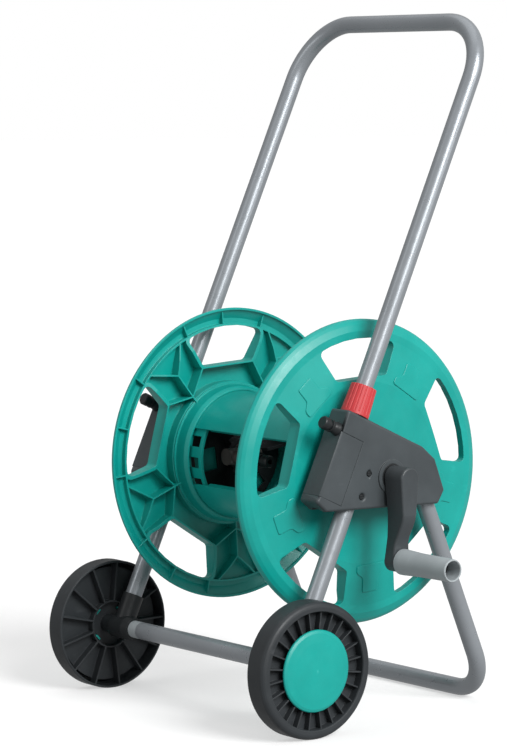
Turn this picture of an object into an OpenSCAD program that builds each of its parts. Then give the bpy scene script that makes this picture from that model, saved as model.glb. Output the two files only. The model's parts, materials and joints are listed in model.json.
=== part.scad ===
// Two-wheeled garden hose reel cart: bent tube frame, plastic side brackets,
// a hand-cranked reel between them and a height-adjustable push handle.
// X runs across the cart towards the crank, Y from the wheels to the stand, Z up.

/* [Tubes] */
// Outside diameter of every frame tube
tube_d = 22; // [20:0.5:24]
// Wall thickness of the frame tubes
tube_wall = 1.2; // [1:0.1:1.5]
// Distance from the mid plane to the tube centres
tube_x = 176; // [174:1:178]
// Backward lean of the front legs and the handle, in degrees
lean = 24.5; // [23:0.5:26]
// Forward offset of the handle tube from the front leg
tube_pitch = 34.8; // [34:0.2:36]
// Length along the lean from the axle to the handle's top bar
handle_reach = 840; // [760:5:880]
// Bend radius of the handle's top corners
handle_bend = 78; // [64:1:90]
// How far the handle slides down into the cart
handle_travel = 250; // [150:5:260]
// Distance from the axle to the stand's floor bar
stand_y = 322; // [310:1:330]
// Forward lean of the rear stand, in degrees
stand_lean = 23.2; // [22:0.2:24.5]
// Bend radius of the stand's lower corners
stand_bend = 60; // [50:1:66]

/* [Wheels] */
// Wheel diameter
wheel_d = 167; // [160:1:174]
// Wheel width
wheel_w = 30; // [28:1:32]
// Distance from the mid plane to a wheel's inner face
wheel_x = 196; // [195:1:198]
// Radius of the domed hub cap
cap_r = 50; // [47:0.5:51]
// Number of ribs on a wheel's inner side
wheel_ribs = 13; // [9:1:16]
// Number of curved fins round the hub cap
wheel_fins = 24; // [18:1:28]

/* [Reel] */
// Flange diameter
flange_d = 380; // [360:2:390]
// Distance behind the axle of the reel's axis
reel_y = 142; // [140:1:144]
// Height of the reel's axis
reel_z = 304.5; // [302:0.5:307]
// Drum diameter
drum_d = 166; // [160:1:168]
// Windows in each flange
windows = 5; // [5:1:5]
// Turn of the reel at rest, in degrees
reel_turn = 3.6; // [0:0.1:8]

/* [Crank] */
// Distance from the reel's axis to the grip's axis
crank_len = 103; // [95:1:108]
// Length of the grip
grip_len = 93; // [80:1:96]

/* [Hidden] */
$fn = 64;

teal = [0.14, 0.67, 0.61];
graphite = [0.30, 0.32, 0.33];
black = [0.12, 0.13, 0.14];
tube_grey = [0.52, 0.54, 0.56];
steel = [0.72, 0.73, 0.74];
red = [0.80, 0.22, 0.24];
light_grey = [0.56, 0.58, 0.60];
brown_grey = [0.36, 0.34, 0.33];

tube_r = tube_d / 2;
bore_r = tube_r - tube_wall;
wheel_r = wheel_d / 2;
rod_r = 5;
rod_end = wheel_x + wheel_w - 7;
fit = 0.1;          // gap between pieces that stay fixed together
running = 0.05;     // radial gap of a shaft in its bore
free = 0.5;         // gap round a tube that only passes through

// Side brackets, in the plane across the cart
plate_in = 161.5;
plate_out = 194;
block_front = 24.5; // front face ahead of the handle tube's axis
collar_s = 311;     // height of the collar seat along the handle line
cover_low = 199;
cover_top = 283;
panel_back = 13;    // how far the cover's side panel reaches behind the handle axis
handle_low = 212;
leg_top = 238;
stand_x = tube_x - 2;
stand_leg = 318;

// Reel, measured across the cart
rim_in = 129;
rim_out = 139.7;
face_out = 147;     // outer face of the raised centre
face_r = 113;       // where the outer face starts to slope back to the rim
rib_in = 126;       // free edges of the ribs on the hose side
skin = 3;
flange_r = flange_d / 2;
drum_r = drum_d / 2;
window_out = 167;
window_in = 117.5;
window_half = 39.3; // half width of a window at its inner edge
window_flare = 30;
journal_r = 12;
bush_r = 16;

// Crank, measured across the cart
hub_out = 230;
grip_x = 216;
grip_end = grip_x + grip_len;
grip_z = reel_z - crank_len;

// The origin is under the middle of the whole cart, on the ground
cap_out = wheel_x + wheel_w + 2;
shift_x = (grip_end - cap_out) / 2;
shift_y = (stand_y + tube_r - wheel_r) / 2;

module place() translate([-shift_x, -shift_y, 0]) children();
module left_side() mirror([1, 0, 0]) children();

// Child's Z axis runs up a front leg's line; off is measured forward from the leg
module leaned(x, off = 0, s = 0)
    translate([x, 0, wheel_r]) rotate([-lean, 0, 0]) translate([0, -off, s]) children();

// Child's Z axis runs up a rear leg's line, from the centre of the floor bar
module stand_line(x) translate([x, stand_y, tube_r]) rotate([stand_lean, 0, 0]) children();

// Child's XY plane becomes the cart's side plane, at distance x0 from the middle
module side_plane(x0) translate([x0, 0, 0]) rotate([90, 0, 90]) children();

module rod_x(r, x0, x1, y, z) translate([x0, y, z]) rotate([0, 90, 0]) cylinder(r = r, h = x1 - x0);
module reel_rod(r, x0, x1) rod_x(r, x0, x1, reel_y, reel_z);

// Child drawn round Z, laid along the reel's axis with Z towards +X and Y upwards
module reel_axis(x0, turn = 0)
    translate([x0, reel_y, reel_z]) rotate([turn, 0, 0]) rotate([90, 0, 90]) children();

module pipe(r, h, wall = tube_wall)
    difference() {
        cylinder(r = r, h = h);
        translate([0, 0, -1]) cylinder(r = r - wall, h = h + 2);
    }

// Inverted U of tube: two legs at x = +-half, from z = low, joined at z = top
module tube_u(half, low, top, bend) {
    for (side = [-1, 1]) {
        translate([side * half, 0, low]) pipe(tube_r, top - bend - low);
        translate([side * (half - bend), 0, top - bend]) rotate([90, 0, 0])
            rotate([0, 0, side > 0 ? 0 : 90]) rotate_extrude(angle = 90) translate([bend, 0])
                difference() {
                    circle(r = tube_r);
                    circle(r = bore_r);
                }
    }
    translate([-(half - bend), 0, top]) rotate([0, 90, 0]) pipe(tube_r, 2 * (half - bend));
}

// Corner at p between neighbours a and b, rounded to radius r in n steps
function unit(v) = v / norm(v);
function corner(a, p, b, r, n) =
    let (u = unit(a - p), v = unit(b - p), half = acos(u * v) / 2)
    let (c = p + unit(u + v) * r / sin(half), t = r / tan(half))
    let (s = p + u * t - c, e = p + v * t - c)
    let (a0 = atan2(s[1], s[0]), turn = atan2(s[0] * e[1] - s[1] * e[0], s * e))
    [for (i = [0:n]) c + r * [cos(a0 + turn * i / n), sin(a0 + turn * i / n)]];
function rounded(points, r, n = 4) =
    let (m = len(points))
    [for (i = [0:m - 1]) each corner(points[(i + m - 1) % m], points[i], points[(i + 1) % m], r, n)];

// ---- frame ----

// Front leg, with the hole for the screw that holds it in the bracket
module front_leg() difference() {
    leaned(tube_x, 0, 17) pipe(tube_r, leg_top - 17);
    screw_rod(2.1, tube_x, plate_out);
}

module front_leg_right() color(tube_grey) place() front_leg();
module front_leg_left() color(tube_grey) place() left_side() front_leg();

module rear_stand() color(tube_grey) place()
    translate([0, stand_y, tube_r]) rotate([stand_lean, 0, 0]) mirror([0, 0, 1])
        tube_u(stand_x, -stand_leg, 0, stand_bend);

module cross_tube() color(tube_grey) place() difference() {
    rod_x(tube_r, -133, 133, 0, wheel_r);
    rod_x(bore_r, -134, 134, 0, wheel_r);
}

// Plastic plugs that carry the cross tube's ends into the axle connectors
module tube_end_plug() difference() {
    union() {
        rod_x(tube_r, 133 + fit / 2, 166, 0, wheel_r);
        rod_x(bore_r - fit, 113, 134, 0, wheel_r);
    }
    rod_x(rod_r + fit, 112, 167, 0, wheel_r);
}

module tube_end_plugs() color(light_grey) place() {
    tube_end_plug();
    left_side() tube_end_plug();
}

module axle_connector() difference() {
    union() {
        rod_x(15.5, 160, 190, 0, wheel_r);
        translate([149, 0, wheel_r]) rotate([0, 90, 0]) cylinder(r1 = 13.4, r2 = 15.5, h = 11);
        leaned(tube_x) cylinder(r = 13.6, h = 43);
    }
    rod_x(tube_r + fit, 148, 166.2, 0, wheel_r);
    rod_x(rod_r + fit, 148, 191, 0, wheel_r);
    leaned(tube_x, 0, 16.8) cylinder(r = tube_r + fit, h = 40);
}

module axle_connector_right() color(black) place() axle_connector();
module axle_connector_left() color(black) place() left_side() axle_connector();

module axle_rod() color(steel) place() rod_x(rod_r, -rod_end, rod_end, 0, wheel_r);

module ring_x(r_in, r_out, x0, x1) difference() {
    rod_x(r_out, x0, x1, 0, wheel_r);
    rod_x(r_in, x0 - 1, x1 + 1, 0, wheel_r);
}

module axle_washers() color(steel) place() for (side = [0, 1]) mirror([side, 0, 0])
    ring_x(rod_r + fit, 11, 190.2, 191.8);

module axle_push_nuts() color(steel) place() for (side = [0, 1]) mirror([side, 0, 0])
    ring_x(rod_r + 0.02, 9, rod_end - 4, rod_end - 2);

// ---- side brackets ----

// Point on the bracket's outline, given along and across the handle line
function on_lean(off, s) = [-off * cos(lean) + s * sin(lean), wheel_r + off * sin(lean) + s * cos(lean)];

function bracket_outline() = rounded([
    on_lean(tube_pitch + block_front, 190),
    on_lean(tube_pitch + block_front, collar_s),
    on_lean(tube_pitch - 18, collar_s),
    [194, 337.5], [214, 321], [229.5, 281], [219.5, 264.5], [40, 268.5]
], 4);

module bracket_solid() {
    side_plane(plate_in) linear_extrude(plate_out - plate_in) polygon(bracket_outline());
    leaned(tube_x, tube_pitch, collar_s - 1) cylinder(r = 15, h = 20);
    reel_rod(21, plate_out - 1, plate_out + 2);
    reel_rod(21, plate_in - 5, plate_in + 1);
}

// Space taken by the removable front cover, shrunk by the gap g
module cover_space(g = 0) {
    low = cover_low + g;
    tall = cover_top - cover_low - 2 * g;
    leaned(0, 0, low) {
        translate([plate_in - 2, -tube_pitch - block_front - 2, 0])
            cube([plate_out - plate_in + 4, block_front + 2 - 13.2 - g, tall]);
        translate([189 + g, -tube_pitch - block_front - 2, 0])
            cube([10, block_front + 2 + panel_back - g, tall]);
    }
}

module bracket_body() difference() {
    bracket_solid();
    cover_space();
    leaned(tube_x, tube_pitch, 150) cylinder(r = tube_r + free, h = collar_s - 150 + 0.5);
    leaned(tube_x, tube_pitch, collar_s) cylinder(r = 13.1, h = 25);
    leaned(tube_x, 0, 150) cylinder(r = tube_r + fit, h = leg_top - 149.8);
    stand_line(stand_x) cylinder(r = tube_r + fit, h = stand_leg + 0.2);
    reel_rod(bush_r + fit, plate_in - 10, plate_out + 10);
    screw_rod(2.1, plate_out - 12, plate_out);
    screw_rod(3.4, plate_out - 2.7, plate_out + 1);
}

module bracket_cover() intersection() {
    side_plane(plate_in) linear_extrude(plate_out - plate_in) polygon(bracket_outline());
    cover_space(0.2);
}

// Screws that hold the cover and the leg sockets, driven in from the outer face
screw_spots = [[-4, 251], [-4.7, 221]];
module screw_rod(r, x0, x1)
    for (p = screw_spots) leaned(x0, p[0], p[1]) rotate([0, 90, 0]) cylinder(r = r, h = x1 - x0);

module bracket_screw_set() difference() {
    union() {
        screw_rod(2, plate_out - 11, plate_out - 2);
        screw_rod(3.2, plate_out - 2.6, plate_out - 0.8);
    }
    for (p = screw_spots) leaned(plate_out - 1.5, p[0], p[1]) rotate([30, 0, 0])
        translate([0, -4, -0.5]) cube([3, 8, 1]);
}

module bracket_right() color(graphite) place() bracket_body();
module bracket_left() color(graphite) place() left_side() bracket_body();
module bracket_cover_right() color(graphite) place() bracket_cover();
module bracket_cover_left() color(graphite) place() left_side() bracket_cover();
module bracket_screws() color(steel) place() {
    bracket_screw_set();
    left_side() bracket_screw_set();
}

// Flanged bearing bush between a bracket and a reel shaft
module hub_bush() difference() {
    union() {
        reel_rod(bush_r, plate_in - 6.5, plate_out + 2);
        reel_rod(19, plate_in - 6.5, plate_in - 5.1);
    }
    reel_rod(journal_r + running, plate_in - 10, plate_out + 5);
}

module hub_bush_right() color(black) place() hub_bush();
module hub_bush_left() color(black) place() left_side() hub_bush();

// Split collet gripped between the clamp nut and the handle tube
module collet() leaned(tube_x, tube_pitch, collar_s + 1) difference() {
    cylinder(r = 13, h = 21);
    translate([0, 0, -1]) cylinder(r = tube_r + running, h = 23);
    translate([0, -0.75, 6]) cube([20, 1.5, 30]);
    translate([-20, -0.75, 6]) cube([20, 1.5, 30]);
}

module collet_right() color(black) place() collet();
module collet_left() color(black) place() left_side() collet();

// Grooved nut that squeezes the collet
nut_h = 37;
nut_grooves = 20;
nut_low_r = 18;
nut_top_r = 16.2;
module clamp_nut() leaned(tube_x, tube_pitch, collar_s + 0.4) difference() {
    cylinder(r1 = nut_low_r, r2 = nut_top_r, h = nut_h);
    for (i = [0:nut_grooves - 1]) rotate([0, 0, (i + 0.5) * 360 / nut_grooves])
        translate([nut_low_r + 0.4, 0, 3]) rotate([0, -atan((nut_low_r - nut_top_r) / nut_h), 0])
            cylinder(r = 1.2, h = nut_h, $fn = 24);
    translate([0, 0, -1]) cylinder(r = 15 + running, h = 21.2);
    translate([0, 0, 20]) cylinder(r = 13.4, h = 3);
    cylinder(r = tube_r + free, h = nut_h + 1);
}

module clamp_nut_right() color(red) place() clamp_nut();
module clamp_nut_left() color(red) place() left_side() clamp_nut();

// Peg with a hose-coupling nose that holds a nozzle, square to the block's front
peg_x = 184.5;
peg_s = 284.5;
module nozzle_peg() leaned(peg_x, tube_pitch + block_front, peg_s) rotate([90, 0, 0]) rotate_extrude()
    polygon([[0, fit], [8.6, fit], [8.6, 2], [7.4, 7], [6.6, 9], [6.6, 10.5], [7.9, 11], [7.9, 13.5],
        [5.6, 14], [5.6, 17], [7.9, 17.5], [7.9, 24.5], [7, 26], [0, 26]]);

module nozzle_peg_right() color(black) place() nozzle_peg();
module nozzle_peg_left() color(black) place() left_side() nozzle_peg();

// ---- handle ----

module handle_tube() color(tube_grey) place()
    leaned(0, tube_pitch) tube_u(tube_x, handle_low, handle_reach, handle_bend);

module handle_end_plugs() color(black) place() for (side = [-1, 1])
    leaned(side * tube_x, tube_pitch, handle_low - 3) {
        cylinder(r = tube_r, h = 2.9);
        translate([0, 0, 2]) cylinder(r = bore_r - fit, h = 16);
    }

// ---- wheels ----

// Wheel drawn round Z: inner face at z = 0, outer face at z = wheel_w
web_z = 13;
module wheel_blank() {
    tyre_in = wheel_r - 2.8;
    face_in = wheel_r - 12;
    rotate_extrude() polygon([
        [tyre_in, 0], [wheel_r - 1, 0], [wheel_r, 1],
        [wheel_r, wheel_w - 6.5], [wheel_r - 0.6, wheel_w - 3.9], [wheel_r - 2.2, wheel_w - 1.8],
        [wheel_r - 4.2, wheel_w - 0.5], [wheel_r - 6.5, wheel_w],
        [face_in + 1, wheel_w], [face_in, wheel_w - 1.5], [face_in, web_z + 4],
        [12, web_z + 4], [12, 17.5], [rod_r + running, 17.5], [rod_r + running, -3.5],
        [12, -3.5], [12, web_z], [face_in + 2.6, web_z], [face_in + 2.6, wheel_w - 3.2],
        [wheel_r - 6, wheel_w - 3.2], [tyre_in, wheel_w - 7]
    ]);
    rotate_extrude() polygon([[29, 3], [31, 3], [31, web_z + 1], [29, web_z + 1]]);
    for (i = [0:wheel_ribs - 1]) rotate([0, 0, i * 360 / wheel_ribs + 8])
        translate([30, -1.1, 2]) cube([tyre_in - 29, 2.2, web_z - 1]);
    for (i = [0:wheel_fins - 1]) rotate([0, 0, (i + 0.5) * 360 / wheel_fins])
        translate([cap_r - 4, -0.9, web_z + 3]) cube([face_in - cap_r + 5, 1.8, 10]);
}

clip_r = 24;
module wheel(x) translate([x, 0, wheel_r]) rotate([0, 90, 0]) difference() {
    wheel_blank();
    for (i = [0:3]) rotate([0, 0, 45 + i * 90]) translate([clip_r - 2.4, -4.4, 0]) cube([4.8, 8.8, web_z + 5]);
}

module wheel_right() color(black) place() wheel(wheel_x);
module wheel_left() color(black) place() left_side() wheel(wheel_x);

// Domed cap with four clips that pass through the web
module hub_cap() translate([wheel_x, 0, wheel_r]) rotate([0, 90, 0]) {
    rotate_extrude() polygon([
        [0, wheel_w - 1], [cap_r - 5, wheel_w - 2.9], [cap_r - 1.6, wheel_w - 2.9], [cap_r - 1.6, web_z + 13.2],
        [cap_r, web_z + 13.2], [cap_r, wheel_w - 2.4], [cap_r - 1, wheel_w - 1.2], [cap_r - 4, wheel_w],
        [cap_r * 0.7, wheel_w + 1.1], [cap_r * 0.4, wheel_w + 1.75], [0, wheel_w + 2]
    ]);
    for (i = [0:3]) rotate([0, 0, 45 + i * 90]) translate([clip_r - 1.2, -4, web_z - 3])
        cube([2.4, 8, wheel_w - web_z + 1.4]);
}

module hub_cap_right() color(teal) place() hub_cap();
module hub_cap_left() color(teal) place() left_side() hub_cap();

// ---- reel ----

// A window's outline, drawn with +Y as the outward radial direction and grown by g
function window_points(g) =
    let (a = window_flare, w = window_half + g / cos(a) + g * tan(a), y0 = window_in - g)
    let (r = window_out + g)
    let (m = w - y0 * tan(a))
    let (end = let (b = asin(m * cos(a) / r)) a + b)
    rounded(concat(
        [[w, y0]],
        [for (i = [0:6]) r * [sin(end * (1 - i / 3)), cos(end * (1 - i / 3))]],
        [[-w, y0]]), 6.5, 4);

module window_prism(g, z0, z1)
    for (i = [0:windows - 1]) rotate([0, 0, i * 360 / windows])
        translate([0, 0, z0]) linear_extrude(z1 - z0) polygon(window_points(g));

module spoke_rib(a, b, low, high) {
    d = b - a;
    translate([a[0], a[1], low]) rotate([0, 0, atan2(d[1], d[0])])
        translate([0, -0.9, 0]) cube([norm(d), 1.8, high - low]);
}

// Outer skin of a flange: lip, rim, sloping face and flat centre, z outward
module flange_skin() rotate_extrude() polygon([
    [19, face_out - skin], [face_r, face_out - skin], [window_out, rim_out - skin],
    [window_out, rim_in + 1], [window_out + 2.5, rim_in + 1], [window_out + 2.5, rim_out - skin],
    [176, rim_out - skin], [187, rim_in + 0.6], [187, rim_in - 2], [flange_r, rim_in - 2],
    [flange_r, rim_in + 1], [188, rim_in + 4.5], [184, rim_in + 7.4], [176, rim_out],
    [window_out, rim_out], [face_r, face_out], [19, face_out]
]);

// Space under the outer skin that the ribs and window walls fill
module under_skin() rotate_extrude() polygon([
    [83.3, rib_in], [150, rib_in], [window_out + 1, rim_in + 1], [187.6, rim_in + 1],
    [184, 134], [176, rim_out - 2], [window_out, rim_out - 2], [face_r, face_out - 2], [83.3, face_out - 2]
]);

module flange_blank() {
    flange_skin();
    intersection() {
        under_skin();
        union() {
            window_prism(2.2, rib_in - 1, face_out);
            // two junctions on each spoke, joined by a spine, with two branches from each
            for (i = [0:windows - 1]) rotate([0, 0, (i + 0.5) * 360 / windows]) {
                spoke_rib([0, 80], [0, 137], rib_in - 1, face_out);
                for (side = [-1, 1]) {
                    spoke_rib([0, 100], [side * 36, 118.8], rib_in - 1, face_out);
                    spoke_rib([0, 137], [side * 31, 165.5], rib_in - 1, face_out);
                }
            }
            // short ribs across the rim's channel, at each window's middle and ends
            for (i = [0:windows - 1]) for (end = [-20.5, 0.5, 20.5])
                rotate([0, 0, i * 360 / windows + end])
                    spoke_rib([0, window_out + 1], [0, 187.5], rib_in, face_out);
        }
    }
    // drum seat, castellated collar inside the drum, and hub
    rotate_extrude() polygon([[83.3, 109], [85.6, 109], [88.5, 114], [90.5, 128], [94, 131],
        [94, face_out - 2], [92, face_out - 2], [92, 132], [88.5, 130], [83.3, 130]]);
    rotate_extrude() polygon([[76.5, 88], [80, 88], [80, 128], [93, 128], [93, 130], [76.5, 130]]);
    rotate_extrude() polygon([[19, 128], [77, 128], [77, 130], [22, 130], [22, face_out - 1],
        [19, face_out - 1]]);
}

collar_slots = 18;
module flange() difference() {
    flange_blank();
    window_prism(0, 90, 160);
    for (i = [0:collar_slots - 1]) rotate([0, 0, i * 360 / collar_slots])
        translate([74, -7, 94]) cube([8, 14, 20]);
}

module flange_right() color(teal) place() reel_axis(0, reel_turn) flange();
module flange_left() color(teal) place() left_side() reel_axis(0, reel_turn) flange();

// One of three curved panels that make the drum, centred at angle turn from the top
panel_turn = 28.2;
panel_span = 67.6;
panel_wall = 2.6;
module drum_panel(turn) translate([-117, reel_y, reel_z]) rotate([turn, 0, 0]) rotate([0, 90, 0])
    rotate([0, 0, 180 - panel_span / 2]) {
        rotate_extrude(angle = panel_span)
            polygon([[drum_r - panel_wall, 0], [drum_r, 0], [drum_r, 234], [drum_r - panel_wall, 234]]);
        for (edge = [0.6, panel_span - 2.6]) rotate([0, 0, edge]) rotate_extrude(angle = 2)
            polygon([[drum_r - 9, 32], [drum_r - panel_wall + 0.5, 32],
                [drum_r - panel_wall + 0.5, 202], [drum_r - 9, 202]]);
    }

module drum_panel_upper() color(teal) place() drum_panel(panel_turn);
module drum_panel_lower() color(teal) place() drum_panel(panel_turn + 120);
module drum_panel_rear() color(teal) place() drum_panel(panel_turn + 240);

// Crank side: solid shaft with a square nose for the crank and a plate in the flange
module drive_shaft() color(black) place() {
    reel_rod(journal_r, 120, hub_out - 26);
    translate([hub_out - 26.5, reel_y - 6, reel_z - 6]) cube([18, 12, 12]);
    difference() {
        reel_rod(18.9, 128.5, face_out + 0.1);
        reel_rod(journal_r - 1, 126, 150);
    }
    reel_rod(30, face_out + 0.1, face_out + 4);
}

// Water side: hollow shaft from the inlet to the outlet elbow
module water_shaft() color(black) place() left_side() difference() {
    union() {
        reel_rod(journal_r, 109, plate_out + 1);
        reel_rod(18.9, 128.5, face_out + 0.1);
        reel_rod(30, face_out + 0.1, face_out + 4);
    }
    reel_rod(6, 100, 150);
    reel_rod(9.1, 149, plate_out + 5);
}

// Rubber rings that seal the turning joint of the water path
seal_x = [170, 180];
module shaft_seals() color([0.05, 0.05, 0.05]) place() left_side()
    for (x = seal_x) reel_axis(x) rotate_extrude() translate([7.95, 0]) circle(r = 1.1, $fn = 24);

// Hose inlet on the water side: a spigot in the hollow shaft and a coupling nose
module inlet_connector() color(black) place() left_side() difference() {
    union() {
        reel_axis(0) rotate_extrude() polygon([
            [0, 158], [8.9, 158], [8.9, 168.7], [6.8, 168.7], [6.8, 171.3], [8.9, 171.3],
            [8.9, 178.7], [6.8, 178.7], [6.8, 181.3], [8.9, 181.3], [8.9, plate_out + 2.4],
            [20.5, plate_out + 2.4], [20.5, plate_out + 6], [8, plate_out + 6], [7.9, plate_out + 10],
            [7.9, plate_out + 13], [5.8, plate_out + 13.5], [5.8, plate_out + 16.5],
            [7.9, plate_out + 17], [7.9, plate_out + 25], [7, plate_out + 26.5], [0, plate_out + 26.5]
        ]);
    }
    reel_rod(4, 150, plate_out + 30);
}

// Spider of three vanes that centres the shaft inside the drum
spider_turn = 38;
module hub_spider() color(black) place() difference() {
    union() {
        reel_rod(20, -125.8, -110);
        reel_rod(74, -125.8, -123.3);
        for (i = [0:2]) translate([-125, reel_y, reel_z]) rotate([spider_turn + i * 120, 0, 0])
            rotate([90, 0, 0]) translate([0, 0, -2]) linear_extrude(4)
                polygon([[0, 17], [14, 17], [14, 26], [30, 34], [30, 72], [0, 72]]);
    }
    reel_rod(journal_r + fit, -130, -100);
    for (i = [0:2]) translate([-130, reel_y, reel_z]) rotate([spider_turn + 60 + i * 120, 0, 0])
        translate([0, -15, 28]) cube([20, 30, 36]);
}

// Elbow that turns the water from the shaft to the hose's nose
elbow_x = -94;
elbow_y = 24;
module outlet_elbow() color(brown_grey) place() difference() {
    union() {
        reel_rod(14, -108.9, elbow_x + 14);
        reel_rod(5.9, -125, -108);
        translate([elbow_x, reel_y, reel_z]) rotate([90, 0, 0]) cylinder(r = 11, h = elbow_y + 11);
        rod_x(9, elbow_x, -40, reel_y - elbow_y, reel_z);
    }
    reel_rod(4.4, -130, elbow_x + 4);
    translate([elbow_x, reel_y, reel_z]) rotate([90, 0, 0]) cylinder(r = 5, h = elbow_y + 5);
    rod_x(5, elbow_x, -30, reel_y - elbow_y, reel_z);
}

// Coupling nose that the hose's own connector clicks on to
module outlet_nose() color(black) place() translate([-40 + fit, reel_y - elbow_y, reel_z]) rotate([0, 90, 0])
    difference() {
        rotate_extrude() polygon([[0, -14], [4.9, -14], [4.9, 0], [10.5, 0], [10.5, 3], [7.9, 3.5], [7.9, 8],
            [5.8, 8.5], [5.8, 11.5], [7.9, 12], [7.9, 22], [7, 24], [0, 24]]);
        translate([0, 0, -20]) cylinder(r = 3.6, h = 50);
    }

// ---- crank ----

// The arm's inner and outer faces, as distance from the mid plane at height t below the hub
function arm_inner(t) = 197 + 2.6 * sin(180 * t) - 0.5 * t;
function ease(u) = let (v = min(1, max(0, u))) v * v * (3 - 2 * v);
function arm_outer(t) = hub_out - 15.5 * ease((t - 0.42) / 0.41);
arm_steps = 14;
arm_end_in = arm_inner(1);
arm_end_out = arm_outer(1);
function arm_side() = concat(
    [[arm_inner(0), 16], [hub_out, 16]],
    [for (i = [0:arm_steps]) let (t = i / arm_steps) [arm_outer(t), -t * crank_len]],
    [[arm_end_out, -crank_len - 16], [arm_end_in, -crank_len - 16]],
    [for (i = [arm_steps:-1:0]) let (t = i / arm_steps) [arm_inner(t), -t * crank_len]]);

// The arm seen from the side of the cart: two round ends and a waist
module arm_front() {
    rotate([0, 90, 0]) cylinder(r = 14, h = 100);
    translate([0, 0, -crank_len]) rotate([0, 90, 0]) cylinder(r = 13.5, h = 100);
    rotate([90, 0, 90]) linear_extrude(100) polygon([[13.9, 0], [10.6, -crank_len * 0.45],
        [10.6, -crank_len * 0.72], [13.4, -crank_len], [-13.4, -crank_len],
        [-10.6, -crank_len * 0.72], [-10.6, -crank_len * 0.45], [-13.9, 0]]);
}

module crank_arm() color(black) place() translate([0, reel_y, reel_z]) difference() {
    intersection() {
        rotate([90, 0, 0]) translate([0, 0, -30]) linear_extrude(60) polygon(arm_side());
        translate([150, 0, 0]) arm_front();
    }
    translate([190, -6.1, -6.1]) cube([hub_out - 8.3 - 190, 12.2, 12.2]);
    translate([190, 0, 0]) rotate([0, 90, 0]) cylinder(r = journal_r + 0.2, h = 14.2);
    translate([150, 0, -crank_len]) rotate([0, 90, 0]) cylinder(r = 6.1, h = 100);
}

// Stud pressed in the arm; the grip turns on it behind a snap head
module grip_rod(r, x0, x1) rod_x(r, x0, x1, reel_y, grip_z);

module grip_stud() color(black) place() {
    grip_rod(6, arm_end_in + 0.5, grip_end - 22);
    grip_rod(8, grip_end - 22, grip_end - 19);
}

module crank_grip() color(light_grey) place() translate([grip_x, reel_y, grip_z]) rotate([0, 90, 0])
    difference() {
        rotate_extrude() polygon([
            [6 + running, 0], [15, 0], [16, 1], [16, 6], [14.6, 34], [14, grip_len - 1], [13.4, grip_len],
            [12.2, grip_len], [11.6, grip_len - 1], [11.6, grip_len - 23], [6 + running, grip_len - 23]
        ]);
    }

front_leg_right();
front_leg_left();
rear_stand();
cross_tube();
tube_end_plugs();
axle_connector_right();
axle_connector_left();
axle_rod();
axle_washers();
axle_push_nuts();
bracket_right();
bracket_left();
bracket_cover_right();
bracket_cover_left();
bracket_screws();
hub_bush_right();
hub_bush_left();
collet_right();
collet_left();
clamp_nut_right();
clamp_nut_left();
nozzle_peg_right();
nozzle_peg_left();
inlet_connector();
handle_tube();
handle_end_plugs();
wheel_right();
wheel_left();
hub_cap_right();
hub_cap_left();
flange_right();
flange_left();
drum_panel_upper();
drum_panel_rear();
drum_panel_lower();
drive_shaft();
water_shaft();
shaft_seals();
hub_spider();
outlet_elbow();
outlet_nose();
crank_arm();
grip_stud();
crank_grip();
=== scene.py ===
import json
import math

import bmesh
import bpy
from mathutils import Matrix, Vector


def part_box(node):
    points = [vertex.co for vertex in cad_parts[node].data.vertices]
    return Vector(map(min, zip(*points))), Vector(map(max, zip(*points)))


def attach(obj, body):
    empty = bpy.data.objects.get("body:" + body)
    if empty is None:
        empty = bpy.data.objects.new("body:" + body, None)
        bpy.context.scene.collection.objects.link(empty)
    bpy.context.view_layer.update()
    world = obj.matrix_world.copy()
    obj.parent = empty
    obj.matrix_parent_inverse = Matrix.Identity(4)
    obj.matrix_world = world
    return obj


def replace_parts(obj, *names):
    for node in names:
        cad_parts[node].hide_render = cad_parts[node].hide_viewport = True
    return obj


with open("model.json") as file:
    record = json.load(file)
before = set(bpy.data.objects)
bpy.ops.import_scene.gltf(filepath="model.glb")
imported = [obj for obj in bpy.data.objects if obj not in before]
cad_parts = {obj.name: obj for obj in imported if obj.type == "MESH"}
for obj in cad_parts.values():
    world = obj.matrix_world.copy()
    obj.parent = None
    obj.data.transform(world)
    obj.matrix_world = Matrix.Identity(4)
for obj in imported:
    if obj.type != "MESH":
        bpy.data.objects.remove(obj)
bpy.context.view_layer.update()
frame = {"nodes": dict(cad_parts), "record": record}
record = frame["record"]
axisAt = {j["name"]: Vector(j["pos_m"]) for j in record["behaviour"]["joints"] if "pos_m" in j}
slotOf = {s["node"]: s["material_slot"] for s in record["subparts"]}
print("frame loaded:", len(frame["nodes"]), "nodes")

studio = {
    "place": (3.0356, -2.4338, 0.7702),
    "pitch": 84.91,
    "yaw": 52.15,
    "lens": 220.52,
    "shift": (-0.0032, -0.0028),
    "floorSize": 40,
    "floorTone": 0.50,
    "floorGlow": 0.50,
    "worldTone": 0.40,
    # suns: the way towards each, its strength and its spread in degrees
    "keySun": ((0.95, 0.02, 0.62), 3.5, 30),
    "topSun": ((-0.30, 0.10, 1.0), 0.45, 60),
    # panels: place, target, width and height, power
    "stripLight": ((-0.6, -3.4, 1.6), (0, 0, 0.5), (0.5, 2.6), 14),
    "sideLight": ((3.2, 1.6, 1.9), (0, 0, 0.4), (0.6, 2.2), 16),
}


def addCamera():
    data = bpy.data.cameras.new("studioCamera")
    data.sensor_fit = "HORIZONTAL"
    data.sensor_width = 36
    data.lens = studio["lens"]
    data.shift_x, data.shift_y = studio["shift"]
    data.clip_end = 60
    camera = bpy.data.objects.new("studioCamera", data)
    camera.location = studio["place"]
    camera.rotation_euler = (math.radians(studio["pitch"]), 0, math.radians(studio["yaw"]))
    bpy.context.scene.collection.objects.link(camera)
    bpy.context.scene.camera = camera


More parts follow.
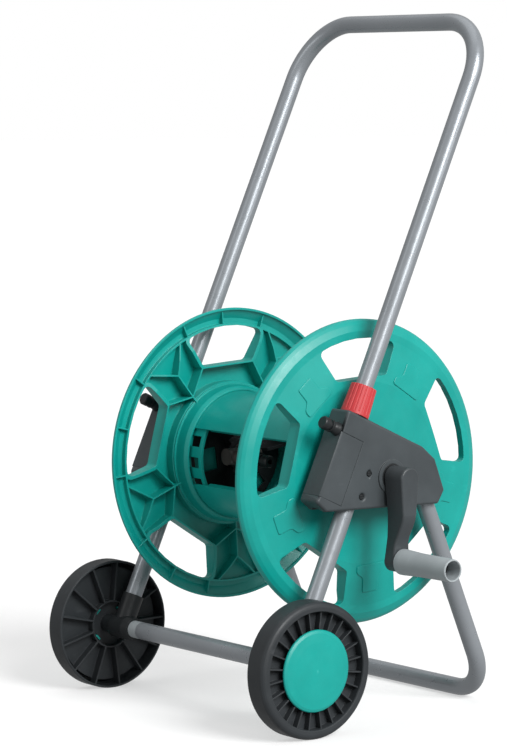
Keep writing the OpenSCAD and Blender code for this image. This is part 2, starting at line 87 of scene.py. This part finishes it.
def addArea(name, place, target, size, power):
    data = bpy.data.lights.new(name, "AREA")
    data.shape = "RECTANGLE"
    data.size, data.size_y = size
    data.energy = power
    light = bpy.data.objects.new(name, data)
    light.location = place
    light.rotation_euler = (Vector(target) - Vector(place)).to_track_quat("-Z", "Y").to_euler()
    bpy.context.scene.collection.objects.link(light)


def addSun(name, toward, strength, spread):
    data = bpy.data.lights.new(name, "SUN")
    data.energy = strength
    data.angle = math.radians(spread)
    light = bpy.data.objects.new(name, data)
    light.rotation_euler = (-Vector(toward)).to_track_quat("-Z", "Y").to_euler()
    bpy.context.scene.collection.objects.link(light)


def addWorld():
    world = bpy.data.worlds.new("studioWorld")
    world.use_nodes = True
    tree = world.node_tree
    tree.nodes.clear()
    out = tree.nodes.new("ShaderNodeOutputWorld")
    back = tree.nodes.new("ShaderNodeBackground")
    back.inputs["Color"].default_value = (1, 1, 1, 1)
    back.inputs["Strength"].default_value = studio["worldTone"]
    # the backdrop stays white while the room's light is set by worldTone
    white = tree.nodes.new("ShaderNodeBackground")
    white.inputs["Color"].default_value = (1, 1, 1, 1)
    white.inputs["Strength"].default_value = 1.0
    seen = tree.nodes.new("ShaderNodeLightPath")
    mix = tree.nodes.new("ShaderNodeMixShader")
    tree.links.new(seen.outputs["Is Camera Ray"], mix.inputs[0])
    tree.links.new(back.outputs[0], mix.inputs[1])
    tree.links.new(white.outputs[0], mix.inputs[2])
    tree.links.new(mix.outputs[0], out.inputs[0])
    bpy.context.scene.world = world


def addFloor():
    work = bmesh.new()
    bmesh.ops.create_grid(work, x_segments=8, y_segments=8, size=studio["floorSize"])
    mesh = bpy.data.meshes.new("floor")
    work.to_mesh(mesh)
    work.free()
    floor = bpy.data.objects.new("floor", mesh)
    bpy.context.scene.collection.objects.link(floor)
    material = bpy.data.materials.new("floorPaper")
    material.use_nodes = True
    tree = material.node_tree
    shader = tree.nodes["Principled BSDF"]
    tone = studio["floorTone"]
    shader.inputs["Base Color"].default_value = (tone, tone, tone, 1)
    shader.inputs["Roughness"].default_value = 0.9
    shader.inputs["Emission Color"].default_value = (1, 1, 1, 1)
    shader.inputs["Emission Strength"].default_value = studio["floorGlow"]
    shader.inputs["Specular IOR Level"].default_value = 0.1
    noise = tree.nodes.new("ShaderNodeTexNoise")
    noise.inputs["Scale"].default_value = 40
    bump = tree.nodes.new("ShaderNodeBump")
    bump.inputs["Strength"].default_value = 0.02
    tree.links.new(noise.outputs["Fac"], bump.inputs["Height"])
    tree.links.new(bump.outputs["Normal"], shader.inputs["Normal"])
    mesh.materials.append(material)
    # the paper does not throw its own light back on the cart
    floor.visible_diffuse = False
    floor.visible_glossy = False


addCamera()
addWorld()
addFloor()
addSun("keySun", *studio["keySun"])
addSun("topSun", *studio["topSun"])
addArea("stripLight", *studio["stripLight"])
addArea("sideLight", *studio["sideLight"])
bpy.context.scene.view_settings.view_transform = "Standard"
print("studio ready")


def srgb(r, g, b):
    # display values 0-255 to linear
    out = []
    for v in (r, g, b):
        v = v / 255
        out.append(v / 12.92 if v <= 0.04045 else ((v + 0.055) / 1.055) ** 2.4)
    return (*out, 1)


# each finish: display colour, gloss and grain; mottle and scratch are how strong its wear is, edge
# how strong the painted highlight on its edges is
looks = {
    "tube_steel": {
        "color": (150, 155, 160), "rough": 0.3, "metal": 0.45,
        "grain": 900, "bump": 0.01, "mottle": 0.02, "edge": 0.0, "round": 0.0, "scratch": 0.02,
    },
    "bracket_plastic": {
        "color": (62, 68, 71), "rough": 0.48, "metal": 0, "gloss": 0.4,
        "grain": 1500, "bump": 0.1, "mottle": 0.08, "edge": 0.35, "round": 0.0012, "scratch": 0.15,
    },
    "black_plastic": {
        "color": (30, 33, 35), "rough": 0.42, "metal": 0, "gloss": 0.35,
        "grain": 1500, "bump": 0.06, "mottle": 0.08, "edge": 0.3, "round": 0.0007, "scratch": 0.12,
    },
    "wheel_plastic": {
        "color": (42, 46, 49), "rough": 0.5, "metal": 0, "gloss": 0.35,
        "grain": 1400, "bump": 0.1, "mottle": 0.1, "edge": 0.35, "round": 0.001, "scratch": 0.3,
    },
    "crank_plastic": {
        "color": (60, 65, 68), "rough": 0.4, "metal": 0, "gloss": 0.4,
        "grain": 1500, "bump": 0.06, "mottle": 0.08, "edge": 0.35, "round": 0.0012, "scratch": 0.2,
    },
    "teal_plastic": {
        "color": (0, 152, 143), "rough": 0.36, "metal": 0,
        "grain": 1300, "bump": 0.05, "mottle": 0.05, "edge": 0.28, "round": 0.001, "scratch": 0.12,
    },
    "red_plastic": {
        "color": (188, 50, 54), "rough": 0.45, "metal": 0,
        "grain": 1300, "bump": 0.07, "mottle": 0.06, "edge": 0.25, "round": 0.0006, "scratch": 0.1,
    },
    "grey_plastic": {
        "color": (156, 163, 166), "rough": 0.46, "metal": 0,
        "grain": 1300, "bump": 0.07, "mottle": 0.05, "edge": 0.2, "round": 0.0007, "scratch": 0.15,
    },
    "elbow_plastic": {
        "color": (84, 78, 76), "rough": 0.45, "metal": 0,
        "grain": 1300, "bump": 0.07, "mottle": 0.06, "edge": 0.2, "round": 0.0007, "scratch": 0.1,
    },
    "rubber": {
        "color": (24, 24, 25), "rough": 0.75, "metal": 0,
        "grain": 1600, "bump": 0.12, "mottle": 0.1, "edge": 0.05, "round": 0.0003, "scratch": 0.05,
    },
    "steel": {
        "color": (176, 178, 180), "rough": 0.32, "metal": 1,
        "grain": 1100, "bump": 0.05, "mottle": 0.06, "edge": 0.1, "round": 0.0004, "scratch": 0.35,
    },
}


def lookMaterial(name, look):
    # one moulded or coated surface: mottled tone, fine grain, scuffs and a painted highlight on
    # its edges
    material = bpy.data.materials.new(name)
    material.use_nodes = True
    tree = material.node_tree
    nodes, links = tree.nodes, tree.links
    shader = nodes["Principled BSDF"]
    shader.inputs["Metallic"].default_value = look["metal"]
    shader.inputs["Specular IOR Level"].default_value = look.get("gloss", 0.5)

    coord = nodes.new("ShaderNodeTexCoord")
    place = nodes.new("ShaderNodeMapping")
    links.new(coord.outputs["Object"], place.inputs["Vector"])

    def noise(scale, detail, rough=0.55):
        node = nodes.new("ShaderNodeTexNoise")
        node.inputs["Scale"].default_value = scale
        node.inputs["Detail"].default_value = detail
        node.inputs["Roughness"].default_value = rough
        links.new(place.outputs["Vector"], node.inputs["Vector"])
        return node.outputs["Fac"]

    def remap(value, low, high, outLow, outHigh):
        node = nodes.new("ShaderNodeMapRange")
        node.inputs["From Min"].default_value = low
        node.inputs["From Max"].default_value = high
        node.inputs["To Min"].default_value = outLow
        node.inputs["To Max"].default_value = outHigh
        links.new(value, node.inputs["Value"])
        return node.outputs["Result"]

    def mixed(amount, first, second, blend="MIX"):
        node = nodes.new("ShaderNodeMix")
        node.data_type = "RGBA"
        node.blend_type = blend
        if isinstance(amount, float):
            node.inputs["Factor"].default_value = amount
        else:
            links.new(amount, node.inputs["Factor"])
        for socket, value in ((node.inputs["A"], first), (node.inputs["B"], second)):
            if isinstance(value, tuple):
                socket.default_value = value
            else:
                links.new(value, socket)
        return node.outputs["Result"]

    base = srgb(*look["color"])
    dark = tuple(c * (1 - 2.2 * look["mottle"]) for c in base[:3]) + (1,)
    pale = tuple(min(1, c * (1 + 1.6 * look["mottle"]) + 0.004) for c in base[:3]) + (1,)
    cloud = noise(14, 4)
    color = mixed(remap(cloud, 0.3, 0.7, 0, 1), dark, pale)

    # rounded shading on moulded edges, and a paler painted highlight laid along them in patches
    rounding = nodes.new("ShaderNodeBevel")
    rounding.samples = 6
    rounding.inputs["Radius"].default_value = look["round"]
    geometry = nodes.new("ShaderNodeNewGeometry")
    dot = nodes.new("ShaderNodeVectorMath")
    dot.operation = "DOT_PRODUCT"
    links.new(rounding.outputs["Normal"], dot.inputs[0])
    links.new(geometry.outputs["Normal"], dot.inputs[1])
    paintedEdgeHighlight = remap(dot.outputs["Value"], 0.995, 0.85, 0, look["edge"])
    paintedEdgeHighlight = mixed(remap(noise(90, 3), 0.35, 0.65, 0.45, 1), (0, 0, 0, 1), paintedEdgeHighlight)
    # one paler tone for both the painted edge highlight and the scuffs
    highlightAndScuffTone = tuple(min(1, c * 1.7 + 0.03) for c in base[:3]) + (1,)
    color = mixed(paintedEdgeHighlight, color, highlightAndScuffTone)

    # thin scuffs
    stretch = nodes.new("ShaderNodeMapping")
    stretch.inputs["Scale"].default_value = (220, 34, 90)
    stretch.inputs["Rotation"].default_value = (0.6, 0.3, 0.9)
    links.new(coord.outputs["Object"], stretch.inputs["Vector"])
    scuff = nodes.new("ShaderNodeTexNoise")
    scuff.inputs["Scale"].default_value = 1
    scuff.inputs["Detail"].default_value = 5
    links.new(stretch.outputs["Vector"], scuff.inputs["Vector"])
    scuffs = remap(scuff.outputs["Fac"], 0.64, 0.74, 0, look["scratch"])
    color = mixed(scuffs, color, highlightAndScuffTone)
    links.new(color, shader.inputs["Base Color"])

    rough = remap(noise(60, 5), 0.25, 0.75, look["rough"] - 0.06, look["rough"] + 0.08)
    add = nodes.new("ShaderNodeMath")
    add.operation = "ADD"
    links.new(rough, add.inputs[0])
    links.new(remap(scuffs, 0, 1, 0, 0.3), add.inputs[1])
    links.new(add.outputs[0], shader.inputs["Roughness"])

    bump = nodes.new("ShaderNodeBump")
    bump.inputs["Strength"].default_value = look["bump"]
    bump.inputs["Distance"].default_value = 0.0006
    links.new(noise(look["grain"], 3), bump.inputs["Height"])
    links.new(rounding.outputs["Normal"], bump.inputs["Normal"])
    links.new(bump.outputs["Normal"], shader.inputs["Normal"])
    return material


materials = {name: lookMaterial(name, look) for name, look in looks.items()}


def wear(piece, slot):
    piece.data.materials.clear()
    piece.data.materials.append(materials[slot])


for node, piece in frame["nodes"].items():
    wear(piece, slotOf[node])
wear(frame["nodes"]["bracket_screws"], "black_plastic")
print("materials ready")


def cleanCopy(node):
    # the CAD part's mesh with its triangles merged into whole faces
    work = bmesh.new()
    work.from_mesh(frame["nodes"][node].data)
    bmesh.ops.remove_doubles(work, verts=work.verts, dist=0.00002)
    bmesh.ops.dissolve_limit(work, angle_limit=math.radians(0.5), verts=work.verts,
                             edges=work.edges)
    bmesh.ops.recalc_face_normals(work, faces=work.faces)
    return work


def finishPiece(work, name, body, slot, sharp=32):
    mesh = bpy.data.meshes.new(name)
    work.to_mesh(mesh)
    work.free()
    mesh.shade_smooth()
    mesh.set_sharp_from_angle(angle=math.radians(sharp))
    piece = bpy.data.objects.new(name, mesh)
    bpy.context.scene.collection.objects.link(piece)
    mesh.materials.append(materials[slot])
    normals = piece.modifiers.new("flatFaces", "WEIGHTED_NORMAL")
    normals.keep_sharp = True
    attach(piece, body)
    return piece


def roundEdges(work, edges, offset, segments=4):
    bmesh.ops.bevel(work, geom=edges, offset=offset, offset_type="OFFSET", segments=segments,
                    profile=0.5, affect="EDGES", clamp_overlap=False, material=-1)


bracketLook = {
    "rim": 0.0036,
    "seam": 0.0007,
    "lean": 24.5,
    "hubRing": 0.034,  # edges nearer the reel's axis stay sharp
    "coverLow": 0.1985,
    "coverHigh": 0.2838,
    "coverBack": 0.0212,
    "coverFront": 0.046,
    "cornerLength": 0.02,
}
axle = axisAt["wheel_right_spin"]
reelAxis = axisAt["reel_spin"]


def alongLean(point):
    # distance up the leg from the axle, and forward of the leg
    a = math.radians(bracketLook["lean"])
    y, z = point.y - axle.y, point.z - axle.z
    return y * math.sin(a) + z * math.cos(a), -y * math.cos(a) + z * math.sin(a)


def offAxis(point, axis):
    return math.hypot(point.y - axis.y, point.z - axis.z)


def outerEdges(work, face):
    # edges of the outer face, with each one's place along the lean
    found = []
    for edge in work.edges:
        if len(edge.link_faces) != 2 or any(abs(v.co.x - face) > 0.00005 for v in edge.verts):
            continue
        if edge.calc_face_angle() < math.radians(50) or edge.calc_length() < 0.0002:
            continue
        middle = (edge.verts[0].co + edge.verts[1].co) / 2
        if offAxis(middle, reelAxis) > bracketLook["hubRing"]:
            found.append((edge, *alongLean(middle)))
    return found


def addBracket(side):
    low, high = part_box("bracket_cover_" + side)
    face = high[0] if side == "right" else low[0]

    # the bracket: a rolled rim all round, except where the cover is let in
    work = cleanCopy("bracket_" + side)
    rim = []
    for edge, up, out in outerEdges(work, face):
        besideCover = bracketLook["coverLow"] < up < bracketLook["coverHigh"]
        if not (besideCover and out > bracketLook["coverBack"]):
            rim.append(edge)
    roundEdges(work, rim, bracketLook["rim"], 5)
    shell = finishPiece(work, "bracketShell" + side.title(), "cart", "bracket_plastic")
    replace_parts(shell, "bracket_" + side)

    # its cover: the same rim on the front corner, fine lines elsewhere
    work = cleanCopy("bracket_cover_" + side)
    front = bracketLook["coverFront"]
    seam = [edge for edge, up, out in outerEdges(work, face) if out < front]
    roundEdges(work, seam, bracketLook["seam"], 1)
    rim = []
    for edge, up, out in outerEdges(work, face):
        if out > front and edge.calc_length() > bracketLook["cornerLength"]:
            rim.append(edge)
    roundEdges(work, rim, bracketLook["rim"], 5)
    shell = finishPiece(work, "bracketCoverShell" + side.title(), "cart", "bracket_plastic")
    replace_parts(shell, "bracket_cover_" + side)


addBracket("right")
addBracket("left")
print("brackets ready")

crankLook = {"edge": 0.0026, "tip": 0.0012, "hubBore": 0.0115, "studBore": 0.0105}
gripAxis = axisAt["grip_spin"]


def addCrank():
    # rolled edge round the arm's outer face, a smaller one behind
    work = cleanCopy("crank_arm")
    for sideways, offset in ((1, crankLook["edge"]), (-1, crankLook["tip"])):
        picked = []
        for edge in work.edges:
            if len(edge.link_faces) != 2 or edge.calc_face_angle() < math.radians(45):
                continue
            facing = [f.normal.x * sideways for f in edge.link_faces]
            if max(facing) < 0.45 or min(facing) > 0.4:
                continue
            middle = (edge.verts[0].co + edge.verts[1].co) / 2
            inHub = offAxis(middle, reelAxis) < crankLook["hubBore"]
            inTip = offAxis(middle, gripAxis) < crankLook["studBore"]
            if not (inHub or inTip):
                picked.append(edge)
        roundEdges(work, picked, offset)
    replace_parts(finishPiece(work, "crankArmShell", "reel", "crank_plastic", 40), "crank_arm")


addCrank()

padLook = {
    "stem": 0.0125,  # half width towards the rim
    "foot": 0.0225,  # half width towards the hub
    "inner": 0.1145,
    "waist": 0.124,
    "neck": 0.131,
    "outer": 0.150,
    "corner": 0.003,
    "tall": 0.0011,
    "root": 0.001,  # how far it sinks into the disc
    "edge": 0.0005,
    "slope": 7.3 / 54,
    "shoulder": 0.113,
    "face": 0.147,
    "turn": 3.6,
    "count": 5,
}


def onlyVerts(made):
    return [v for v in made if isinstance(v, bmesh.types.BMVert)]


def addSpokePads(side):
    # raised panel on each spoke of the reel disc
    pad = padLook
    half = [(pad["stem"], pad["outer"]), (pad["stem"], pad["neck"]), (pad["foot"], pad["waist"]),
            (pad["foot"], pad["inner"])]
    outline = half + [(-u, v) for u, v in reversed(half)]
    work = bmesh.new()
    work.faces.new([work.verts.new((0, u, v)) for u, v in outline])
    bmesh.ops.bevel(work, geom=list(work.verts), offset=pad["corner"], segments=4, profile=0.5,
                    affect="VERTICES", clamp_overlap=False, material=-1)
    top = onlyVerts(bmesh.ops.extrude_face_region(work, geom=list(work.faces))["geom"])
    bmesh.ops.translate(work, verts=top, vec=(pad["tall"] + pad["root"], 0, 0))
    lip = [e for e in work.edges if all(v in top for v in e.verts) and len(e.link_faces) == 2]
    roundEdges(work, [e for e in lip if e.calc_face_angle() > 1], pad["edge"], 1)
    bmesh.ops.recalc_face_normals(work, faces=work.faces)

    # laid on the disc's slope, then one for each spoke
    for v in work.verts:
        v.co.x += pad["face"] - pad["root"] - pad["slope"] * (v.co.z - pad["shoulder"])
    first = list(work.verts) + list(work.edges) + list(work.faces)
    step = 360 / pad["count"]
    for i in range(1, pad["count"]):
        made = onlyVerts(bmesh.ops.duplicate(work, geom=first)["geom"])
        bmesh.ops.rotate(work, verts=made, matrix=Matrix.Rotation(math.radians(step * i), 3, "X"))
    turn = Matrix.Rotation(math.radians(pad["turn"] + step / 2), 3, "X")
    bmesh.ops.rotate(work, verts=work.verts, matrix=turn)
    if side == "left":
        bmesh.ops.scale(work, verts=work.verts, vec=(-1, 1, 1))
        bmesh.ops.recalc_face_normals(work, faces=work.faces)
    bmesh.ops.translate(work, verts=work.verts, vec=(midX, reelAxis.y, reelAxis.z))
    finishPiece(work, "spokePads" + side.title(), "reel", "teal_plastic")


midX = (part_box("flange_right")[0][0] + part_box("flange_left")[1][0]) / 2
addSpokePads("right")
addSpokePads("left")
print("reel ready")
